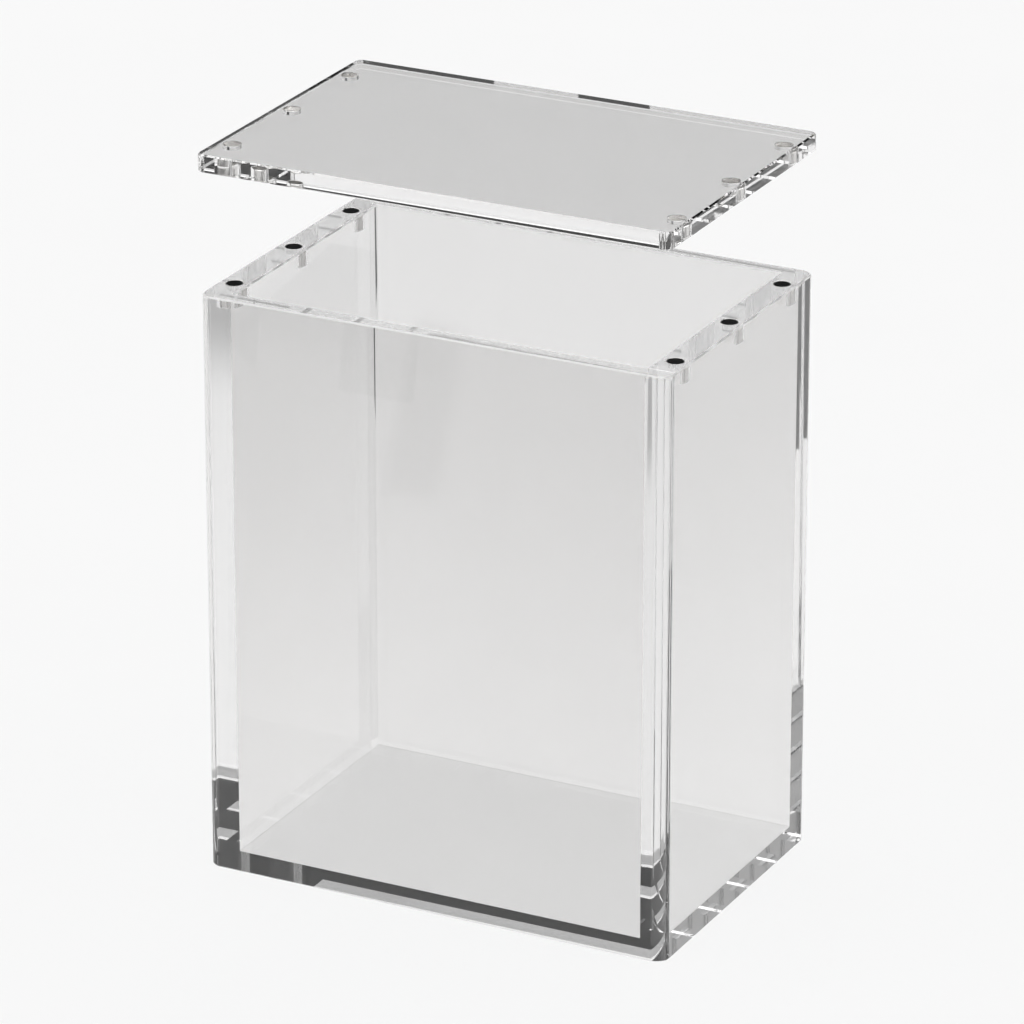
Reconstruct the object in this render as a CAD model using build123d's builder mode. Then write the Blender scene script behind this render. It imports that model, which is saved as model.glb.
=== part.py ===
from build123d import *
import os

# Clear acrylic display case: a glued five-sheet box and a loose lid that disc magnets hold.
# Millimetres. The origin is at the middle of the underside, +Z is up and the front faces -Y.
# The lid is drawn raised above the box, at the height where it is held for loading.

# ---- the glued box ----
case_width = 165.0
case_depth = 108.0
wall_height = 192.4
base_thickness = 5.6
side_wall = 10.0
front_back_wall = 6.0
corner_radius = 4.5

# ---- the lid ----
lid_thickness = 6.0
lid_corner_radius = 2.5
lid_lift = 41.0

# ---- the bevel along every polished edge ----
edge_bevel = 0.5

# ---- the magnets and their blind pockets ----
magnet_diameter = 6.0
case_magnet_height = 6.0
lid_magnet_height = 4.0
magnet_bevel = 0.3
magnet_end_inset = 15.0
magnet_recess = 0.1
pocket_clearance = 0.05

# ---- sizes that follow from the ones above ----
inside_width = case_width - 2 * side_wall
inside_depth = case_depth - 2 * front_back_wall
rim_height = base_thickness + wall_height
lid_underside = rim_height + lid_lift
side_centre = (case_width - side_wall) / 2
front_back_centre = (case_depth - front_back_wall) / 2
pocket_radius = magnet_diameter / 2 + pocket_clearance
magnet_row = case_depth / 2 - magnet_end_inset

# Each wall's centre and its width and depth, seen from above. The side walls run the full depth
# of the case and carry the magnets, and the front and back walls are glued between them.
walls = {
    "left_wall": (-side_centre, 0, side_wall, case_depth),
    "right_wall": (side_centre, 0, side_wall, case_depth),
    "front_wall": (0, -front_back_centre, inside_width, front_back_wall),
    "back_wall": (0, front_back_centre, inside_width, front_back_wall),
}
sides = {"left": -side_centre, "right": side_centre}
rows = {"front": -magnet_row, "middle": 0, "back": magnet_row}
magnet_places = {f"{side}_{row}": (x, y) for side, x in sides.items() for row, y in rows.items()}

os.makedirs("parts", exist_ok=True)


def save(piece, name):
    """Label a finished piece and write it to its own file."""
    piece.part.label = name
    export_step(piece.part, f"parts/{name}.step")


# ---- base plate: lies under the walls, flush with their outer faces ----
with BuildPart() as base_plate:
    with BuildSketch():
        RectangleRounded(case_width, case_depth, corner_radius)
    extrude(amount=base_thickness)
    chamfer(base_plate.faces().sort_by(Axis.Z)[0].edges(), edge_bevel)
save(base_plate, "base_plate")

# ---- walls: each is cut from the box's round-cornered outline, so the four corners line up ----
for name, (centre_x, centre_y, width, depth) in walls.items():
    with BuildPart() as wall:
        with BuildSketch(Plane.XY.offset(base_thickness)):
            RectangleRounded(case_width, case_depth, corner_radius)
        extrude(amount=wall_height)
        chamfer(wall.faces().sort_by(Axis.Z)[-1].edges(), edge_bevel)
        with BuildSketch(Plane.XY.offset(base_thickness)):
            with Locations((centre_x, centre_y)):
                Rectangle(width, depth)
        extrude(amount=wall_height, mode=Mode.INTERSECT)
        # The mitred bevel round the inside of the rim.
        with BuildSketch(Plane.XY.offset(rim_height - edge_bevel)):
            Rectangle(inside_width, inside_depth)
        with BuildSketch(Plane.XY.offset(rim_height)):
            Rectangle(inside_width + 2 * edge_bevel, inside_depth + 2 * edge_bevel)
        loft(mode=Mode.SUBTRACT)
        # The blind pockets in the rim, which lie in the side walls.
        with BuildSketch(Plane.XY.offset(rim_height)):
            with Locations(*magnet_places.values()):
                Circle(pocket_radius)
        extrude(amount=-(case_magnet_height + magnet_recess), mode=Mode.SUBTRACT)
    save(wall, name)

# ---- lid: one loose sheet of the case's own width and depth, with pockets in its underside ----
with BuildPart() as lid:
    with BuildSketch(Plane.XY.offset(lid_underside)):
        RectangleRounded(case_width, case_depth, lid_corner_radius)
    extrude(amount=lid_thickness)
    chamfer(lid.faces().filter_by(Axis.Z).edges(), edge_bevel)
    with BuildSketch(Plane.XY.offset(lid_underside)):
        with Locations(*magnet_places.values()):
            Circle(pocket_radius)
    extrude(amount=lid_magnet_height + magnet_recess, mode=Mode.SUBTRACT)
save(lid, "lid")

# ---- magnets: each sits on the floor of its pocket, just below the surface around it ----
for place, centre in magnet_places.items():
    with BuildPart() as case_magnet:
        with BuildSketch(Plane.XY.offset(rim_height - magnet_recess)):
            with Locations(centre):
                Circle(magnet_diameter / 2)
        extrude(amount=-case_magnet_height)
        chamfer(case_magnet.edges().filter_by(GeomType.CIRCLE), magnet_bevel)
    save(case_magnet, f"case_magnet_{place}")

    with BuildPart() as lid_magnet:
        with BuildSketch(Plane.XY.offset(lid_underside + magnet_recess)):
            with Locations(centre):
                Circle(magnet_diameter / 2)
        extrude(amount=lid_magnet_height)
        chamfer(lid_magnet.edges().filter_by(GeomType.CIRCLE), magnet_bevel)
    save(lid_magnet, f"lid_magnet_{place}")
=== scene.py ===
import math

import bpy
import numpy as np
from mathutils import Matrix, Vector
from mathutils.geometry import tessellate_polygon


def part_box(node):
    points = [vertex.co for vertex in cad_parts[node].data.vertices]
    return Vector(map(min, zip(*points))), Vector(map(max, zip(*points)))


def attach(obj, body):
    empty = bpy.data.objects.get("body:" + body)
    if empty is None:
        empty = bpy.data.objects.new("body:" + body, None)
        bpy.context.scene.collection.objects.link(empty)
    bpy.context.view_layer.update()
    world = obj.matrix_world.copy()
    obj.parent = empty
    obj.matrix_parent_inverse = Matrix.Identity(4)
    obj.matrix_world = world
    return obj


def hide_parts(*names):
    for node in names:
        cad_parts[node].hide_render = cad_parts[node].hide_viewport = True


# Clear acrylic display case with its lid held above it. Metres, +Z up, the front faces -Y.
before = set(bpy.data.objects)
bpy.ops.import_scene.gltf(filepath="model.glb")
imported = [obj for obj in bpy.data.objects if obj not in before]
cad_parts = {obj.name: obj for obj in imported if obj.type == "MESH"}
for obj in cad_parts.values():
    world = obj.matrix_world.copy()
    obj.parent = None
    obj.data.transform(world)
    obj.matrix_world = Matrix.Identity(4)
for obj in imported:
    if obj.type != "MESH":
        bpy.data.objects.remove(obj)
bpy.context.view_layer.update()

# ---- sizes read from the frame ----
half_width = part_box("base_plate")[1].x
half_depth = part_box("base_plate")[1].y
base_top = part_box("base_plate")[1].z
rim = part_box("left_wall")[1].z
inside_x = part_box("front_wall")[1].x
inside_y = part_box("back_wall")[0].y
lid_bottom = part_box("lid")[0].z
lid_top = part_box("lid")[1].z

# ---- sizes of the acrylic's edges ----
corner_radius = 0.0045
lid_corner_radius = 0.0025
edge_bevel = 0.0005
pocket_clearance = 0.00005
corner_steps = 24
pocket_steps = 48

# ---- how finely places are told apart ----
least_area = 1e-12
least_step = 1e-9
place_digits = 8

# ---- the camera ----
camera_azimuth = math.radians(26.95)
camera_elevation = math.radians(21.9)
camera_distance = 2.1168
camera_aim = Vector((0.00136, 0.0, 0.12011))
camera_lens = 231.64
camera_sensor = 36.0
camera_reach = 100.0

# ---- the floor ----
floor_gap = 0.0002
floor_radius = 8.0
floor_steps = 96
floor_tones = (0.885, 0.9)

# ---- the painted shade on the floor: hidden mats ----
mat_height = 0.0001
foot_shadow_inset = 0.001
shade_mat_tones = {"dark": 0.017, "charcoal": 0.13, "grey": 0.42, "pale": 0.5}
shade_falloff = (0.36, 0.45)
faded_shade_tone = 0.89
shade_mat_contrast = (0.7, 1.3)

# ---- the light. Heights run from 0 at the horizon to 1 straight up ----
haze_light = 0.8
haze_heights = (0.16, 0.26)
overhead_light = 1.2
overhead_heights = (0.55, 0.80)
far_wall_light = 0.03
near_wall_light = 0.175
near_wall_heights = (0.34, 0.42)
near_wall_offset = 0.93
dark_wall_azimuth = math.radians(100.0)
lamp_strength = 3.3
lamp_spread = math.radians(100.0)
most_bounces = 64
surface_bounces = 48

# ---- the finishes ----
acrylic_index = 1.49
acrylic_marks = 0.012
tint_variation = 0.01
tint_cast = (0.004, 0.0, -0.002)
lamp_passes = (0.988, 0.989, 0.989, 1.0)
nickel_tones = ((0.72, 0.715, 0.705, 1.0), (0.85, 0.845, 0.835, 1.0))
painted_dark_top_tones = ((0.0010, 0.0010, 0.0010, 1.0), (0.0022, 0.0022, 0.0024, 1.0))
painted_dark_top_depth = 0.00005
white = (1.0, 1.0, 1.0, 1.0)


# =====================================================================================
# Finishes
# =====================================================================================
class Value:
    """A number inside a finish. Python's operators on it add the Math nodes."""

    def __init__(self, tree, socket):
        self.tree = tree
        self.socket = socket

    def maths(self, operation, first, second):
        made = self.tree.node("ShaderNodeMath", {"operation": operation}, {0: first, 1: second})
        return made.value()

    def __add__(self, other):
        return self.maths("ADD", self, other)

    def __rsub__(self, other):
        return self.maths("SUBTRACT", other, self)

    def __mul__(self, other):
        return self.maths("MULTIPLY", self, other)

    def __gt__(self, other):
        return self.maths("GREATER_THAN", self, other)


class Placed:
    """A node that is in a tree, with its outputs by name or number."""

    def __init__(self, tree, node):
        self.tree = tree
        self.node = node

    def value(self, output=0):
        return Value(self.tree, self.node.outputs[output])

    def out(self, output=0):
        return self.node.outputs[output]


class Tree:
    """The nodes of one material or world."""

    def __init__(self, owner):
        owner.use_nodes = True
        self.nodes = owner.node_tree.nodes
        self.links = owner.node_tree.links
        self.nodes.clear()

    def node(self, kind, settings=None, sockets=None):
        """Add a node. Its settings are set first, then each socket gets a plain value or a link."""
        made = self.nodes.new(kind)
        for name, setting in (settings or {}).items():
            setattr(made, name, setting)
        for name, given in (sockets or {}).items():
            given = given.socket if isinstance(given, Value) else given
            if isinstance(given, bpy.types.NodeSocket):
                self.links.new(given, made.inputs[name])
            else:
                made.inputs[name].default_value = given
        return Placed(self, made)

    def noise(self, scale, detail, stretch=(1.0, 1.0, 1.0)):
        """Smooth noise on the piece's own coordinates, in metres, from 0 to 1."""
        place = self.node("ShaderNodeTexCoord").out("Object")
        scaled = self.node("ShaderNodeMapping", None, {"Vector": place, "Scale": stretch}).out()
        sockets = {"Vector": scaled, "Scale": scale, "Detail": detail}
        return self.node("ShaderNodeTexNoise", None, sockets).value()

    def along(self, axis):
        """How far along X, Y or Z a place on the piece lies, in metres."""
        place = self.node("ShaderNodeTexCoord").out("Object")
        return self.node("ShaderNodeSeparateXYZ", None, {0: place}).value(axis)

    def blend(self, share, first, second):
        """A colour between two colours."""
        mixed = self.node("ShaderNodeMix", {"data_type": "RGBA"}, {0: share, 6: first, 7: second})
        return mixed.out(2)

    def ramp(self, value, low, high):
        """0 below low, 1 above high, and smooth between."""
        settings = {"interpolation_type": "SMOOTHSTEP"}
        sockets = {"Value": value, "From Min": low, "From Max": high}
        return self.node("ShaderNodeMapRange", settings, sockets).value()

    def show(self, surface):
        """Make a shader the surface of the material."""
        self.node("ShaderNodeOutputMaterial", None, {"Surface": surface.out()})


def grey(tone):
    """A neutral colour."""
    return tone, tone, tone, 1.0


def clear_acrylic(name, at_foot, at_rim, milkiness=0.0):
    """Polished cast acrylic: it bends light, lets the lamp through and has the faintest wipe marks.
    at_foot and at_rim give the colour that light takes on at those heights; where they differ, the
    sheet darkening from foot to rim is painted shade.
    Milkiness is the share of light that a cut and polished edge scatters."""
    finish = bpy.data.materials.new(name)
    tree = Tree(finish)
    painted_shade_rise = tree.ramp(tree.along("Z"), base_top, rim)

    def tint(more):
        """The colour at every height, made a little clearer or darker."""
        ends = [(*(clearness + more + cast for cast in tint_cast), 1.0)
                for clearness in (at_foot, at_rim)]
        return tree.blend(painted_shade_rise, *ends)

    wipes = tree.noise(scale=60.0, detail=2.0, stretch=(1.0, 1.0, 0.35))
    cloud = tree.noise(scale=35.0, detail=3.0)
    body = tree.node("ShaderNodeBsdfPrincipled", None, {
        "Base Color": tree.blend(cloud, tint(-tint_variation), tint(tint_variation)),
        "Roughness": wipes * acrylic_marks,
        "IOR": acrylic_index,
        "Transmission Weight": 1.0 - milkiness,
    })
    passed = tree.node("ShaderNodeBsdfTransparent", None, {"Color": lamp_passes})
    lamp = tree.node("ShaderNodeLightPath").out("Is Shadow Ray")
    tree.show(tree.node("ShaderNodeMixShader", None, {0: lamp, 1: body.out(), 2: passed.out()}))
    return finish


def cement():
    """The cement in a joint: as clear as the sheets that it joins, so light goes straight on."""
    finish = bpy.data.materials.new("clear_cement")
    tree = Tree(finish)
    tree.show(tree.node("ShaderNodeBsdfTransparent", None, {"Color": white}))
    return finish


def nickel(name, painted_dark_above=None):
    """Nickel plate with fine turning marks. What lies above a height, a case magnet's top face,
    is painted matt black, a painted dark reflection of the plated top."""
    finish = bpy.data.materials.new(name)
    tree = Tree(finish)
    grain = tree.noise(scale=1800.0, detail=4.0, stretch=(1.0, 1.0, 0.25))
    cloud = tree.noise(scale=400.0, detail=3.0)
    relief = {"Strength": 0.05, "Distance": 0.0001, "Height": grain}
    bump = tree.node("ShaderNodeBump", None, relief)
    shown = tree.node("ShaderNodeBsdfPrincipled", None, {
        "Base Color": tree.blend(cloud, *nickel_tones),
        "Metallic": 1.0,
        "Roughness": grain * 0.12 + 0.16,
        "Normal": bump.out(),
    })
    if painted_dark_above is not None:
        top = tree.along("Z") > painted_dark_above
        black = tree.node("ShaderNodeBsdfPrincipled", None, {
            "Base Color": tree.blend(grain, *painted_dark_top_tones),
            "Roughness": grain * 0.1 + 0.4,
            "Specular IOR Level": 0.02,
        })
        shown = tree.node("ShaderNodeMixShader", None, {0: top, 1: shown.out(), 2: black.out()})
    tree.show(shown)
    return finish


def pale_floor():
    """The studio floor: a pale matt surface with a barely visible mottle."""
    finish = bpy.data.materials.new("pale_floor")
    tree = Tree(finish)
    darker, lighter = floor_tones
    mottle = tree.noise(scale=9.0, detail=3.0)
    tree.show(tree.node("ShaderNodeBsdfPrincipled", None, {
        "Base Color": tree.blend(mottle, grey(darker), grey(lighter)),
        "Roughness": 0.9,
        "Specular IOR Level": 0.1,
    }))
    return finish


def shade_mat_finish(name, tone, fade=None):
    """Painted shade for the hidden mats: matt grey with a fine mottle. A faded mat has the floor's
    tone on the side near the case, and darkens to its own between two distances along Y, a painted
    fall-off of the light."""
    finish = bpy.data.materials.new(name)
    tree = Tree(finish)
    less, more = (share * tone for share in shade_mat_contrast)
    shade_grain = tree.blend(tree.noise(scale=900.0, detail=3.0), grey(less), grey(more))
    if fade is not None:
        shade_grain = tree.blend(tree.ramp(tree.along("Y"), *fade), grey(faded_shade_tone), shade_grain)
    tree.show(tree.node("ShaderNodeBsdfPrincipled", None, {
        "Base Color": shade_grain,
        "Roughness": 1.0,
        "Specular IOR Level": 0.0,
    }))
    return finish


# =====================================================================================
# Surfaces
# =====================================================================================
class Faces:
    """Triangles that make one piece, each with a normal at its corners and a finish number."""

    def __init__(self):
        self.corners = []
        self.normals = []
        self.finishes = []

    def strip(self, lower, upper, normals, finish=0):
        """Two rows of places with faces between them. Both rows share one row of normals."""
        lower, upper, normals = (np.asarray(row, float) for row in (lower, upper, normals))
        for picks in (((lower, 0), (lower, 1), (upper, 1)), ((lower, 0), (upper, 1), (upper, 0))):
            ends = [row[step:len(row) - 1 + step] for row, step in picks]
            turns = [normals[step:len(normals) - 1 + step] for _, step in picks]
            self.keep(np.stack(ends, 1), np.stack(turns, 1), finish)

    def cap(self, loops, height, up, finish=0):
        """A flat face at one height inside the first loop and outside the rest."""
        flat = np.concatenate(loops)
        polygons = [[Vector((x, y, 0.0)) for x, y in loop] for loop in loops]
        picks = np.array(tessellate_polygon(polygons))
        first, second, third = (flat[picks[:, k]] for k in range(3))
        area = np.cross(second - first, third - first)
        picks[area * up < 0] = picks[area * up < 0][:, ::-1]
        places = np.column_stack([flat, np.full(len(flat), height)])[picks]
        self.keep(places, np.broadcast_to((0.0, 0.0, up), places.shape), finish)

    def keep(self, corners, normals, finish):
        """Add triangles, leaving out those with no area."""
        along, across = corners[:, 1] - corners[:, 0], corners[:, 2] - corners[:, 0]
        real = np.linalg.norm(np.cross(along, across), axis=1) > least_area
        self.corners.append(corners[real])
        self.normals.append(np.array(normals)[real])
        self.finishes.append(np.full(real.sum(), finish))

    def piece(self, name, finishes):
        """Join the triangles where their corners meet, and make them an object."""
        corners = np.concatenate(self.corners).reshape(-1, 3)
        rounded = np.round(corners, place_digits)
        places, index = np.unique(rounded, axis=0, return_inverse=True)
        mesh = bpy.data.meshes.new(name)
        mesh.from_pydata(places, [], index.reshape(-1, 3).tolist())
        for finish in finishes:
            mesh.materials.append(finish)
        numbers = np.concatenate(self.finishes).astype(np.int32)
        mesh.polygons.foreach_set("material_index", numbers)
        mesh.polygons.foreach_set("use_smooth", np.ones(len(mesh.polygons), bool))
        mesh.normals_split_custom_set(np.concatenate(self.normals).reshape(-1, 3))
        made = bpy.data.objects.new(name, mesh)
        bpy.context.scene.collection.objects.link(made)
        return made


def at(points, height):
    """Points of a plan at one height."""
    return np.column_stack([points, np.full(len(points), height)])


def arc(centre, radius, start, end, steps):
    """Points round a circle from one angle to another, in degrees, with the outward direction of
    each."""
    angles = np.radians(np.linspace(start, end, steps + 1))
    outward = np.column_stack([np.cos(angles), np.sin(angles)])
    return np.array(centre) + radius * outward, outward


def upright(outward):
    """Normals of a vertical face."""
    return at(outward, 0.0)


def sloping(outward, up):
    """Normals of a 45 degree bevel that leans up or down."""
    return at(outward, up) / math.sqrt(2)


def rounded_outline(inset, radius):
    """The case's plan, taken in by inset: four rounded corners, counter-clockwise from the front
    right. The last point is the first again."""
    reach = np.array([half_width - radius, half_depth - radius])
    corners = [((1, -1), 270), ((1, 1), 0), ((-1, 1), 90), ((-1, -1), 180)]
    runs = [arc(reach * sign, radius - inset, start, start + 90, corner_steps)
            for sign, start in corners]
    points = np.concatenate([run[0] for run in runs])
    outward = np.concatenate([run[1] for run in runs])
    return np.vstack([points, points[:1]]), np.vstack([outward, outward[:1]])


# ---- the finishes of each sheet, by number. The wall's numbers have names ----
ACRYLIC, CEMENT, RIM, CORNER, BEVEL = 0, 1, 2, 3, 4
joint = cement()
# Painted shade: the walls darken from the foot to the rim. Painted light: the base is tinted
# clearer than the walls, which lightens the floor seen through it.
wall_finishes = [
    clear_acrylic("wall_acrylic", at_foot=0.91, at_rim=0.81),
    joint,
    clear_acrylic("polished_rim", at_foot=0.92, at_rim=0.92, milkiness=0.2),
    clear_acrylic("polished_corner", at_foot=0.91, at_rim=0.81, milkiness=0.08),
    clear_acrylic("polished_bevel", at_foot=0.92, at_rim=0.92, milkiness=0.65),
]
base_finishes = [clear_acrylic("base_acrylic", at_foot=0.98, at_rim=0.98), joint]
lid_finishes = [clear_acrylic("lid_acrylic", at_foot=0.91, at_rim=0.91)]

inner_plan = np.array([
    (-inside_x, -inside_y),
    (inside_x, -inside_y),
    (inside_x, inside_y),
    (-inside_x, inside_y),
])


def pocket_places(kind):
    """Centre and box of each magnet of one kind, by its node's name."""
    boxes = {name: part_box(name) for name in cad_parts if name.startswith(kind)}
    return {name: ((low + high) / 2, low, high) for name, (low, high) in boxes.items()}


def cut_pockets(faces, magnets, mouth, into):
    """Blind round pockets for magnets, from a mouth height, going up (1) or down (-1).
    Returns their mouths."""
    mouths = []
    for middle, low, high in magnets:
        radius = (high.y - low.y) / 2 + pocket_clearance
        end = high.z if into > 0 else low.z
        ring, outward = arc(middle.xy, radius, 0, 360, pocket_steps)
        rows = [at(ring, mouth), at(ring, end)]
        if into < 0:
            rows = rows[::-1]
        faces.strip(rows[0][::-1], rows[1][::-1], upright(-outward)[::-1])
        faces.cap([ring[:-1]], end, -into)
        mouths.append(ring[:-1])
    return mouths


def base_sheet():
    """The base: the rounded plan drawn straight up, with a bevel round its underside."""
    faces = Faces()
    inner, outward = rounded_outline(edge_bevel, corner_radius)
    outer, _ = rounded_outline(0.0, corner_radius)
    faces.cap([inner[:-1]], 0.0, -1)
    faces.strip(at(inner, 0.0), at(outer, edge_bevel), sloping(outward, -1.0))
    faces.strip(at(outer, edge_bevel), at(outer, base_top), upright(outward))
    faces.cap([outer[:-1], inner_plan], base_top, 1, CEMENT)
    faces.cap([inner_plan], base_top, 1)
    return faces.piece("base_sheet", base_finishes)


def lid_sheet():
    """The lid: the plan with smaller corners, bevelled above and below, with pockets underneath."""
    faces = Faces()
    inner, outward = rounded_outline(edge_bevel, lid_corner_radius)
    outer, _ = rounded_outline(0.0, lid_corner_radius)
    magnets = pocket_places("lid_magnet").values()
    mouths = cut_pockets(faces, magnets, lid_bottom, 1)
    faces.cap([inner[:-1], *mouths], lid_bottom, -1)
    lower, upper = lid_bottom + edge_bevel, lid_top - edge_bevel
    faces.strip(at(inner, lid_bottom), at(outer, lower), sloping(outward, -1.0))
    faces.strip(at(outer, lower), at(outer, upper), upright(outward))
    faces.strip(at(outer, upper), at(inner, lid_top), sloping(outward, 1.0))
    faces.cap([inner[:-1]], lid_top, 1)
    return faces.piece("lid_sheet", lid_finishes)


def wall_sheet(name, runs, turn, magnets=()):
    """A wall drawn up from the base. Each run of its plan has points at the foot, points at the
    rim, outward directions, the bevel's slope and a finish. Turn is 1, or -1 for the wall on the
    other side."""
    faces = Faces()
    shoulder = rim - edge_bevel
    for foot, top, outward, slope, finish in runs:
        foot, top, outward = turn * foot, turn * top, turn * outward
        faces.strip(at(foot, base_top), at(foot, shoulder), upright(outward), finish)
        normals = sloping(turn * slope, 1.0) if slope is not None else upright(outward)
        edge_finish = CEMENT if finish == CEMENT else BEVEL
        faces.strip(at(foot, shoulder), at(top, rim), normals, edge_finish)
    foot_loop = np.concatenate([turn * foot[:-1] for foot, *_ in runs])
    top_loop = np.concatenate([turn * top[:-1] for _, top, *_ in runs])
    steps = np.abs(foot_loop - np.roll(foot_loop, 1, axis=0))
    distinct = np.any(steps > least_step, axis=1)
    mouths = cut_pockets(faces, magnets, rim, -1)
    faces.cap([foot_loop[distinct]], base_top, -1, CEMENT)
    faces.cap([top_loop, *mouths], rim, 1, RIM)
    return faces.piece(name, wall_finishes)


def straight(foot, top, outward, finish=ACRYLIC):
    """A straight run of a wall's plan between two points. A cemented run has no slope."""
    outward = np.array([outward, outward], float)
    slope = outward if finish == ACRYLIC else None
    return np.array(foot), np.array(top), outward, slope, finish


def corner(sign, start):
    """The round corner of a wall's plan."""
    centre = np.array([half_width - corner_radius, half_depth - corner_radius]) * sign
    foot, outward = arc(centre, corner_radius, start, start + 90, corner_steps)
    top, _ = arc(centre, corner_radius - edge_bevel, start, start + 90, corner_steps)
    return foot, top, outward, outward, CORNER


def side_wall_plan():
    """The left wall's plan, counter-clockwise. It is cemented to the front and back walls."""
    c = edge_bevel
    x, y, w, d = inside_x, inside_y, half_width, half_depth
    turn_x, turn_y = w - corner_radius, d - corner_radius
    return [
        straight([(-x, -d), (-x, -y)], [(-x, c - d), (-x, -y - c)], (1, 0), CEMENT),
        straight([(-x, -y), (-x, -y)], [(-x, -y - c), (-x - c, -y - c)], (0, 1)),
        straight([(-x, -y), (-x, y)], [(-x - c, -y - c), (-x - c, y + c)], (1, 0)),
        straight([(-x, y), (-x, y)], [(-x - c, y + c), (-x, y + c)], (0, -1)),
        straight([(-x, y), (-x, d)], [(-x, y + c), (-x, d - c)], (1, 0), CEMENT),
        straight([(-x, d), (-turn_x, d)], [(-x, d - c), (-turn_x, d - c)], (0, 1)),
        corner((-1, 1), 90),
        straight([(-w, turn_y), (-w, -turn_y)], [(c - w, turn_y), (c - w, -turn_y)], (-1, 0)),
        corner((-1, -1), 180),
        straight([(-turn_x, -d), (-x, -d)], [(-turn_x, c - d), (-x, c - d)], (0, -1)),
    ]


def end_wall_plan():
    """The front wall's plan, counter-clockwise. Its two ends are cemented to the side walls."""
    c = edge_bevel
    x, y, d = inside_x, inside_y, half_depth
    return [
        straight([(-x, -d), (x, -d)], [(-x, c - d), (x, c - d)], (0, -1)),
        straight([(x, -d), (x, -y)], [(x, c - d), (x, -y - c)], (1, 0), CEMENT),
        straight([(x, -y), (-x, -y)], [(x, -y - c), (-x, -y - c)], (0, 1)),
        straight([(-x, -y), (-x, -d)], [(-x, -y - c), (-x, c - d)], (-1, 0), CEMENT),
    ]


def stand_for(made, node, body):
    """A new piece takes a CAD node's place and body."""
    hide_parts(node)
    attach(made, body)


case_magnets = pocket_places("case_magnet")
stand_for(base_sheet(), "base_plate", "case")
stand_for(lid_sheet(), "lid", "lid")
for side, turn in (("left", 1), ("right", -1)):
    own = [places for name, places in case_magnets.items() if side in name]
    stand_for(wall_sheet(f"{side}_sheet", side_wall_plan(), turn, own), f"{side}_wall", "case")
for side, turn in (("front", 1), ("back", -1)):
    stand_for(wall_sheet(f"{side}_sheet", end_wall_plan(), turn), f"{side}_wall", "case")

# ---- magnets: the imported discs, plated ----
case_magnet_top = max(high.z for _, _, high in case_magnets.values())
# Painted reflection: the case magnets' top faces are painted matt black for the dark reflection
# they show.
nickel_painted_dark_top = nickel("nickel_with_painted_dark_top", case_magnet_top - painted_dark_top_depth)
bright_nickel = nickel("bright_nickel")
for name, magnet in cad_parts.items():
    if "magnet" in name:
        magnet.data.materials.clear()
        magnet.data.materials.append(nickel_painted_dark_top if name.startswith("case") else bright_nickel)


# =====================================================================================
# The studio
# =====================================================================================
def floor():
    """A wide flat disc, a hair below the base."""
    ring, _ = arc((0.0, 0.0), floor_radius, 0, 360, floor_steps)
    faces = Faces()
    faces.cap([ring[:-1]], -floor_gap, 1)
    made = faces.piece("studio_floor", [pale_floor()])


def mat(name, finish, *outlines):
    """A sheet of painted shade on the floor, inside its first outline and outside the next. The
    camera doesn't see it. Light that has passed through acrylic does, which puts painted dark lines
    along the
    edges. The mats suit this camera only: from an angle that looks across the case at one, it shows
    through the panes as a dark shape."""
    faces = Faces()
    faces.cap([np.array(outline) for outline in outlines], mat_height - floor_gap, 1)
    made = faces.piece(name, [finish])
    made.visible_camera = False
    made.visible_diffuse = False
    made.visible_glossy = False
    made.visible_shadow = False


def studio_light():
    """Soft light from a wide panel overhead and a pale haze along the horizon. The wall behind the
    case is dark, and the walls grow lighter round to the front and upwards."""
    world = bpy.data.worlds.new("studio")
    bpy.context.scene.world = world
    tree = Tree(world)
    way = tree.node("ShaderNodeTexCoord").out("Generated")
    height = tree.node("ShaderNodeSeparateXYZ", None, {0: way}).value("Z")
    low = 1.0 - tree.ramp(height, *haze_heights)
    high = tree.ramp(height, *overhead_heights)
    darkest = (math.cos(dark_wall_azimuth), math.sin(dark_wall_azimuth), 0.0)
    dot = {"operation": "DOT_PRODUCT"}
    towards = tree.node("ShaderNodeVectorMath", dot, {0: way, 1: darkest}).value("Value")
    upwards = tree.ramp(height, *near_wall_heights)
    walls = (near_wall_offset - towards) * upwards * near_wall_light + far_wall_light
    strength = low * haze_light + high * overhead_light + walls
    lit = tree.node("ShaderNodeBackground", None, {"Color": white, "Strength": strength})
    tree.node("ShaderNodeOutputWorld", None, {"Surface": lit.out()})
    world.cycles_visibility.diffuse = False
    lamp = bpy.data.lights.new("overhead_lamp", "SUN")
    lamp.energy = lamp_strength
    lamp.angle = lamp_spread
    lamp.cycles.use_multiple_importance_sampling = False
    bpy.context.scene.collection.objects.link(bpy.data.objects.new("overhead_lamp", lamp))


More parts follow.
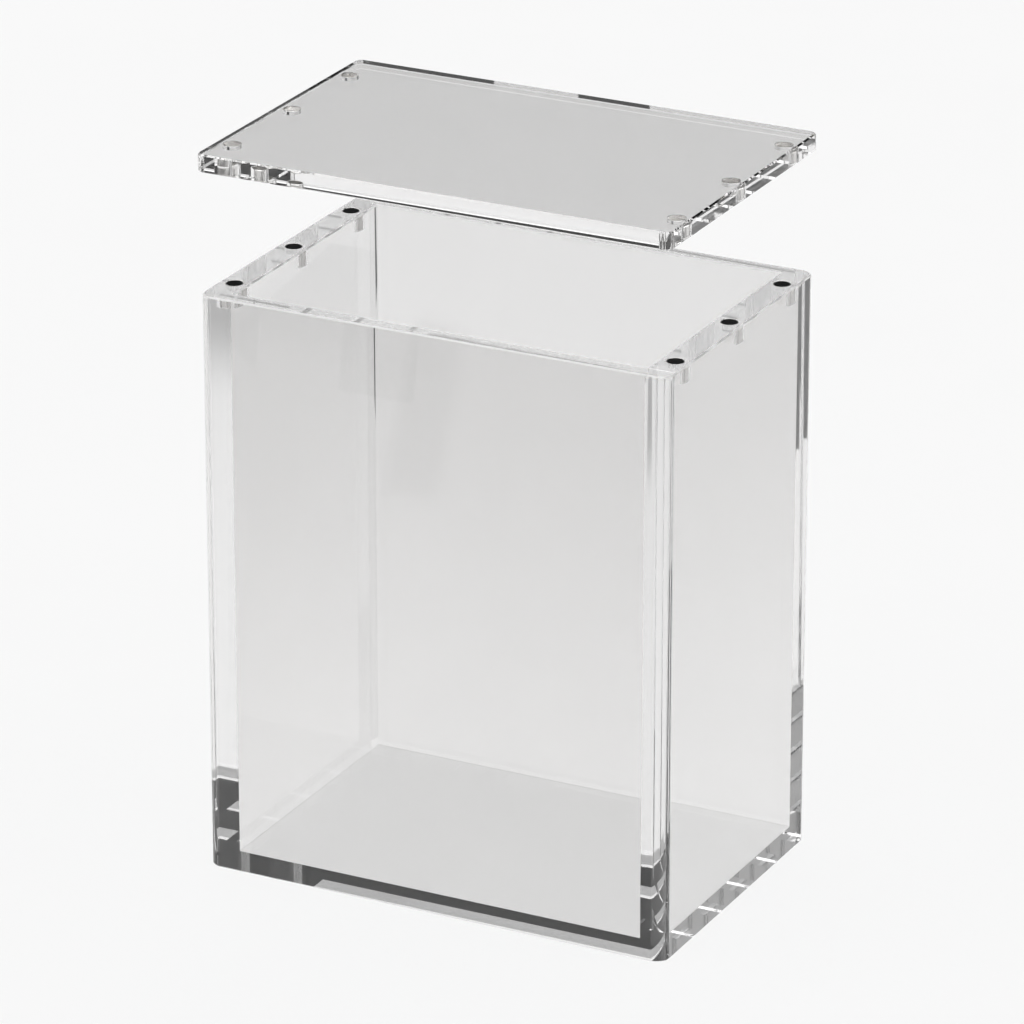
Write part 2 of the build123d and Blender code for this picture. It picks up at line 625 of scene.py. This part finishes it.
def camera():
    """A long lens above the front right, which sees the front, the right side and the rim."""
    back = Vector((
        math.sin(camera_azimuth) * math.cos(camera_elevation),
        -math.cos(camera_azimuth) * math.cos(camera_elevation),
        math.sin(camera_elevation),
    ))
    made = bpy.data.objects.new("camera", bpy.data.cameras.new("camera"))
    made.data.lens = camera_lens
    made.data.sensor_width = camera_sensor
    made.data.clip_end = camera_reach
    made.location = camera_aim + camera_distance * back
    made.rotation_euler = (-back).to_track_quat("-Z", "Y").to_euler()
    bpy.context.scene.collection.objects.link(made)
    bpy.context.scene.camera = made


floor()
# Painted shade: these mats darken the floor where rays through the acrylic land, standing in for
# the shade and fall-off of light there.
dark_painted_shade = shade_mat_finish("dark_painted_shade", shade_mat_tones["dark"])
charcoal_painted_shade = shade_mat_finish("charcoal_painted_shade", shade_mat_tones["charcoal"])
grey_painted_shadow = shade_mat_finish("grey_painted_shadow", shade_mat_tones["grey"])
pale_painted_falloff = shade_mat_finish("pale_painted_falloff", shade_mat_tones["pale"], shade_falloff)
mat("front_left_mat", charcoal_painted_shade,
    [(-0.290, -0.453), (-0.378, -0.62), (-0.46, -0.62)])
mat("front_right_mat", charcoal_painted_shade,
    [(-0.252, -0.45), (-0.219, -0.45), (-0.301, -0.62), (-0.336, -0.62)])
mat("front_mat", dark_painted_shade,
    [(-0.18, -0.62), (-0.46, -0.62), (-0.6, -0.9), (-0.1, -0.9)])
mat("near_mat", dark_painted_shade,
    [(-0.172, -0.17), (-0.192, -0.165), (-0.27, -0.34), (-0.243, -0.330)])
mat("back_left_mat", charcoal_painted_shade,
    [(0.222, 0.53), (0.272, 0.53), (0.272, 0.66), (0.235, 0.66)])
mat("back_mat", dark_painted_shade,
    [(0.235, 0.66), (0.272, 0.66), (0.272, 0.53), (0.5, 0.53), (0.8, 1.3), (0.3, 1.3)])
mat("column_mat", pale_painted_falloff,
    [(0.095, 0.35), (0.17, 0.35), (0.19, 0.50), (0.10, 0.50)])
mat("left_mat", dark_painted_shade,
    [(-0.348, 0.065), (-0.384, 0.195), (-0.46, 0.24), (-0.52, 0.07)])
mat("corner_mat", charcoal_painted_shade,
    [(-0.455, 0.275), (-0.56, 0.375), (-0.60, 0.33), (-0.51, 0.245)])
# Painted shadow: a grey ring round the foot stands in for the case's contact shadow.
mat("foot_painted_shadow", grey_painted_shadow,
    [(-0.085, -0.0565), (0.085, -0.0565), (0.085, 0.062), (-0.085, 0.062)],
    rounded_outline(foot_shadow_inset, corner_radius)[0][:-1])
studio_light()
camera()

scene = bpy.context.scene
scene.view_settings.view_transform = "Standard"
scene.cycles.max_bounces = most_bounces
scene.cycles.transmission_bounces = surface_bounces
scene.cycles.glossy_bounces = surface_bounces
scene.cycles.transparent_max_bounces = most_bounces
scene.cycles.caustics_reflective = False
scene.cycles.caustics_refractive = False
